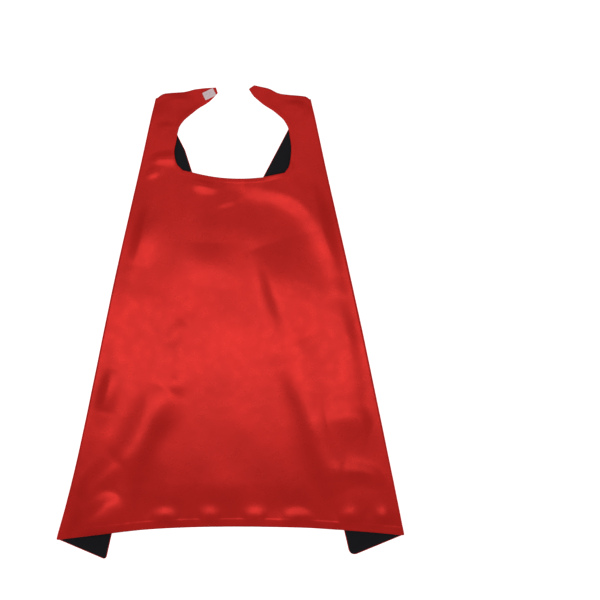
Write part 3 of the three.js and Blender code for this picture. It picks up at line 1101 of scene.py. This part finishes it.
def satin(name, dark, light, metallic, roughness, sheen, tint):
    """Satin: long floating threads with a soft gloss, fine ribs and slightly uneven dye."""
    material, nodes, links, shader = new_material(name)
    flat = nodes.new("ShaderNodeUVMap")
    flat.uv_map = "flat"
    where = flat.outputs["UV"]
    dye = noise(nodes, links, where, 14, 4)
    links.new(blend_colours(nodes, links, dye, dark, light), shader.inputs["Base Color"])
    wear = noise(nodes, links, where, 60, 3)
    links.new(span(nodes, links, wear, roughness - 0.03, roughness + 0.03), shader.inputs["Roughness"])
    threads = nodes.new("ShaderNodeTexWave")
    threads.bands_direction = "X"
    threads.inputs["Scale"].default_value = 420
    threads.inputs["Distortion"].default_value = 1.5
    threads.inputs["Detail"].default_value = 2
    links.new(where, threads.inputs["Vector"])
    slub = noise(nodes, links, where, 900, 2)
    weave = nodes.new("ShaderNodeMath")
    weave.operation = "ADD"
    links.new(threads.outputs["Fac"], weave.inputs[0])
    links.new(slub, weave.inputs[1])
    fine = bump(nodes, links, weave.outputs["Value"], 0.05, 0.00008)
    crumple = bump(nodes, links, noise(nodes, links, where, 22, 3, 0.55), 0.22, 0.0012)
    links.new(fine.outputs["Normal"], crumple.inputs["Normal"])
    links.new(crumple.outputs["Normal"], shader.inputs["Normal"])
    shader.inputs["Metallic"].default_value = metallic
    shader.inputs["Sheen Weight"].default_value = sheen
    shader.inputs["Sheen Roughness"].default_value = 0.45
    shader.inputs["Sheen Tint"].default_value = (*tint, 1)
    shader.inputs["Specular Tint"].default_value = (*tint, 1)
    return material


def woven(name, dark, light, scale, roughness):
    """Matt tape or thread: a close weave with a little colour from thread to thread."""
    material, nodes, links, shader = new_material(name)
    place = nodes.new("ShaderNodeTexCoord").outputs["Object"]
    grain = noise(nodes, links, place, scale, 3)
    links.new(blend_colours(nodes, links, grain, dark, light), shader.inputs["Base Color"])
    links.new(span(nodes, links, grain, roughness + 0.08, roughness - 0.08), shader.inputs["Roughness"])
    fine = bump(nodes, links, grain, 0.5, 0.0001)
    links.new(fine.outputs["Normal"], shader.inputs["Normal"])
    shader.inputs["Sheen Weight"].default_value = 0.2
    return material


RED_SATIN = satin(
    "red_satin_look",
    dark=(0.45, 0.004, 0.0025),
    light=(0.54, 0.007, 0.005),
    metallic=0.47,
    roughness=0.29,
    sheen=0.05,
    tint=(1, 0.6, 0.54),
)
BLACK_SATIN = satin(
    "black_satin_look",
    dark=(0.004, 0.004, 0.005),
    light=(0.007, 0.007, 0.008),
    metallic=0.0,
    roughness=0.42,
    sheen=0.02,
    tint=(0.2, 0.2, 0.22),
)
TAPE_LOOK = woven("closing_tape_look", (0.74, 0.60, 0.62), (0.92, 0.78, 0.80), scale=2500, roughness=0.8)
THREAD_LOOK = woven("thread_look", (0.78, 0.50, 0.50), (0.92, 0.68, 0.68), scale=4000, roughness=0.7)
LOOKS = {"outer": RED_SATIN, "lining": BLACK_SATIN, "stitching": THREAD_LOOK, "tape": TAPE_LOOK}
for node in frame["nodes"].values():
    look = LOOKS[node.name.split("_")[-1]]
    node.data.materials.clear()
    node.data.materials.append(look)

# ---- Cape ----


def blend_ends(side, run):
    """The ends of a blend that runs down the fold from the split line, or up it if run is negative."""
    start = side.at(side.split, 0) * MM
    end = side.at(side.split + run, 0) * MM
    return (*start, 0), (*end, 0)


def dress(piece, look, slot, held, rests_on):
    piece.data.materials.append(look)
    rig.slot(piece, slot)
    size = piece["flat_size"]
    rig.sheet(
        piece,
        flat=tuple(size),
        held=held,
        rests_on=rests_on,
        area=min(piece["flat_area"], size[0] * size[1]),
    )


def place_cape():
    for kind, look, slot in ((OUTER, RED_SATIN, "red_satin"), (LINING, BLACK_SATIN, "black_satin")):
        pieces = make_ply(kind)
        under = [pieces[side.name + "_flap"] for side in SIDES]
        dress(pieces["back"], look, slot, "laid", under)
        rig.ride(pieces["back"], "back_panel")
        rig.replaces(pieces["back"], "back_" + kind)
        for side in SIDES:
            for part, run in (("arm", -BLEND_ARM), ("flap", BLEND_FLAP)):
                name = f"{side.name}_{part}"
                dress(pieces[name], look, slot, "folded", [pieces["back"]])
                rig.blend(pieces[name], "back_panel", name, *blend_ends(side, run))
                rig.replaces(pieces[name], f"{name}_{kind}")


place_cape()

# ---- Closing tapes ----

TAPE_LENGTH = 18.5
TAPE_WIDTH = 12.5
TAPE_BASE = 0.5
TAPE_BORDER = 2.2
TAPE_TURN = 37.7  # degrees from straight across the fold
HOOK_PITCH = 0.8
HOOK_RADIUS = 0.1
LOOP_COUNT = 420
LOOP_RADIUS = 0.06
STITCH_PITCH = 2.4
STITCH_RADIUS = 0.17


def tube(path, radius, sides=5):
    """Rings of points round a path, and the faces of the closed tube through them."""
    path = np.array(path, float)
    along = unit(np.gradient(path, axis=0))
    aside = unit(np.cross(along, [0.31, 0.83, 0.46]))
    other = np.cross(along, aside)
    turn = 2 * math.pi * np.arange(sides) / sides
    ring = aside[:, None] * np.cos(turn)[:, None] + other[:, None] * np.sin(turn)[:, None]
    points = (path[:, None] + radius * ring).reshape(-1, 3)
    faces = [list(range(sides))[::-1], list(range(len(points) - sides, len(points)))]
    for row in range(len(path) - 1):
        for k in range(sides):
            a, b = row * sides + k, row * sides + (k + 1) % sides
            faces.append([a, b, b + sides, a + sides])
    return points, faces


def hook_paths():
    """Rows of bent hooks that lean towards the tape's ends."""
    reach = np.array([TAPE_LENGTH, TAPE_WIDTH]) / 2 - TAPE_BORDER - 0.4
    counts = np.round(2 * reach / HOOK_PITCH).astype(int)
    bend = [(0, 0), (0.02, 0.3), (0.1, 0.5), (0.26, 0.58), (0.38, 0.5), (0.4, 0.38)]
    for i, x in enumerate(np.linspace(-reach[0], reach[0], counts[0])):
        for y in np.linspace(-reach[1], reach[1], counts[1]):
            lean = 1 if i % 2 else -1
            yield [(x + lean * (out - 0.15), y, TAPE_BASE + up) for out, up in bend]


def loop_paths():
    """A felted pile of small loops, every one a little different."""
    draw = np.random.default_rng(3)
    reach = np.array([TAPE_LENGTH, TAPE_WIDTH]) / 2 - TAPE_BORDER - 0.5
    for _ in range(LOOP_COUNT):
        x, y = draw.uniform(-reach, reach)
        heading = draw.uniform(0, math.pi)
        half = draw.uniform(0.25, 0.45)
        tall = draw.uniform(0.25, 0.42)
        turn = np.linspace(0, math.pi, 6)
        out = half * np.cos(turn)
        up = TAPE_BASE + tall * np.sin(turn)
        yield np.stack([x + math.cos(heading) * out, y + math.sin(heading) * out, up], -1)


def stitch_paths():
    """Stitches round the tape's border, each rising out of the tape and back."""
    half = np.array([TAPE_LENGTH, TAPE_WIDTH]) / 2 - TAPE_BORDER / 2
    corners = [(-half[0], -half[1]), (half[0], -half[1]), (half[0], half[1]), (-half[0], half[1])]
    for start, end in zip(corners, corners[1:] + corners[:1]):
        start, end = np.array(start), np.array(end)
        run = np.hypot(*(end - start))
        count = round(run / STITCH_PITCH)
        for k in range(count):
            spots = lerp(start, end, (k + np.array([0.06, 0.2, 0.5, 0.8, 0.94]))[:, None] / count)
            heights = TAPE_BASE + np.array([-0.12, 0.12, 0.2, 0.12, -0.12])
            yield [(*spot, height) for spot, height in zip(spots, heights)]


def base_plate():
    """The woven base: a thin plate with soft edges and a slight rise and fall."""
    columns, rows = 26, 18
    x, y = np.meshgrid(np.linspace(-1, 1, columns), np.linspace(-1, 1, rows))
    round_off = 1 - 0.035 * (np.abs(x * y)) ** 12
    across = np.stack([x * TAPE_LENGTH / 2, y * TAPE_WIDTH / 2], -1) * round_off[..., None]
    edge = np.maximum(np.abs(x), np.abs(y))
    top = TAPE_BASE * (1 - 0.5 * smooth(edge, 0.93, 1)) + 0.02 * np.sin(9 * x) * np.sin(7 * y)
    upper = np.concatenate([across, top[..., None]], -1).reshape(-1, 3)
    lower = np.concatenate([across, np.zeros_like(top)[..., None]], -1).reshape(-1, 3)
    index = np.arange(columns * rows).reshape(rows, columns)
    quads = np.stack([index[:-1, :-1], index[:-1, 1:], index[1:, 1:], index[1:, :-1]], -1).reshape(-1, 4)
    faces = quads.tolist() + (quads[:, ::-1] + len(upper)).tolist()
    rim = np.concatenate([index[0], index[1:, -1], index[-1, -2::-1], index[-2:0:-1, 0]])
    for a, b in zip(rim, np.roll(rim, -1)):
        faces.append([int(a + len(upper)), int(b + len(upper)), int(b), int(a)])
    return np.vstack([upper, lower]), faces


def place_on_tab(side, parts, name, seat, up, look, slot, node):
    """Makes one piece of parts drawn on the tape's own axes, and sets it on its tab."""
    angle = math.atan2(side.inward[1], side.inward[0]) + side.hand * math.radians(TAPE_TURN)
    along = np.array([math.cos(angle), math.sin(angle), 0])
    normal = np.array([0, 0, up])
    axes = np.stack([along, np.cross(normal, along), normal])
    origin = np.array([*side.at(*side.shape["tape"]), seat])
    points, faces = [], []
    for part_points, part_faces in parts:
        start = sum(len(p) for p in points)
        points.append(part_points)
        faces += [[int(v) + start for v in face] for face in part_faces]
    mesh = bpy.data.meshes.new(name)
    mesh.from_pydata((origin + np.vstack(points) @ axes) * MM, [], faces)
    mesh.polygons.foreach_set("use_smooth", np.ones(len(mesh.polygons), bool))
    mesh.materials.append(look)
    piece = bpy.data.objects.new(name, mesh)
    bpy.context.collection.objects.link(piece)
    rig.slot(piece, slot)
    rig.ride(piece, side.name + "_arm")
    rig.replaces(piece, node)


def place_tapes():
    hooks = [tube(path, HOOK_RADIUS) for path in hook_paths()]
    loops = [tube(path, LOOP_RADIUS, 4) for path in loop_paths()]
    stitches = [tube(path, STITCH_RADIUS, 6) for path in stitch_paths()]
    hook_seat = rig.box("hook_tape")[0].z / MM
    loop_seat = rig.box("loop_tape")[1].z / MM
    left_tape = (LEFT, "hook", hooks, hook_seat, 1)
    right_tape = (RIGHT, "loop", loops, loop_seat, -1)
    for side, kind, field, seat, up in (left_tape, right_tape):
        node, name = kind + "_tape", kind + "_patch"
        tape = [base_plate()] + field
        place_on_tab(side, tape, name, seat, up, TAPE_LOOK, "closing_tape", node)
        place_on_tab(side, stitches, name + "_thread", seat, up, THREAD_LOOK, "thread", node + "_stitching")


place_tapes()

# ---- Floor, light and camera ----

VIEW_CENTRE = (0.107, 0.0343)
VIEW_WIDTH = 0.9336
VIEW_HEIGHT = 3.0
SENSOR = 36.0


def add_floor():
    bpy.ops.mesh.primitive_plane_add(size=24, location=(0, 0, -0.0004))
    floor = bpy.context.object
    floor.name = "floor"
    material, nodes, links, shader = new_material("paper_white")
    place = nodes.new("ShaderNodeTexCoord").outputs["Object"]
    grain = noise(nodes, links, place, 40, 3)
    links.new(span(nodes, links, grain, 0.88, 0.92), shader.inputs["Roughness"])
    shader.inputs["Base Color"].default_value = (0.95, 0.95, 0.95, 1)
    shader.inputs["Emission Color"].default_value = (1, 1, 1, 1)
    shader.inputs["Emission Strength"].default_value = 0.7
    floor.data.materials.append(material)
    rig.stage(floor)


def add_light(name, place, size, watts):
    data = bpy.data.lights.new(name, "AREA")
    data.shape = "RECTANGLE"
    data.size, data.size_y = size
    data.energy = watts
    lamp = bpy.data.objects.new(name, data)
    lamp.location = place
    lamp.visible_camera = False
    bpy.context.collection.objects.link(lamp)


def add_world(horizon, overhead):
    """Even white light, weaker towards the horizon so that the rounded edges turn darker."""
    world = bpy.data.worlds.new("studio")
    world.use_nodes = True
    nodes, links = world.node_tree.nodes, world.node_tree.links
    split = nodes.new("ShaderNodeSeparateXYZ")
    links.new(nodes.new("ShaderNodeTexCoord").outputs["Generated"], split.inputs["Vector"])
    ramp = nodes.new("ShaderNodeMapRange")
    ramp.inputs["From Min"].default_value = 0.1
    ramp.inputs["From Max"].default_value = 0.85
    ramp.inputs["To Min"].default_value = horizon
    ramp.inputs["To Max"].default_value = overhead
    links.new(split.outputs["Z"], ramp.inputs["Value"])
    links.new(ramp.outputs["Result"], nodes["Background"].inputs["Strength"])
    nodes["Background"].inputs["Color"].default_value = (1, 1, 1, 1)
    bpy.context.scene.world = world


def add_camera():
    data = bpy.data.cameras.new("camera")
    data.sensor_width = SENSOR
    data.lens = SENSOR * VIEW_HEIGHT / VIEW_WIDTH
    camera = bpy.data.objects.new("camera", data)
    camera.location = (*VIEW_CENTRE, VIEW_HEIGHT)
    bpy.context.collection.objects.link(camera)
    bpy.context.scene.camera = camera
    bpy.context.scene.view_settings.view_transform = "Standard"


add_floor()
add_world(horizon=0.25, overhead=0.64)
add_light("softbox", place=(-0.036, -0.062, 1.0), size=(0.78, 0.29), watts=1.75)
add_light("fill", place=(-0.036, 0.42, 1.0), size=(0.8, 0.16), watts=0.3)
add_camera()

with open("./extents.json", "w") as file:
    json.dump({"cad": [list(map(float, c)) for c in CAD_BOX], "visual": [list(map(float, c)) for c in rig.bounds()]}, file)
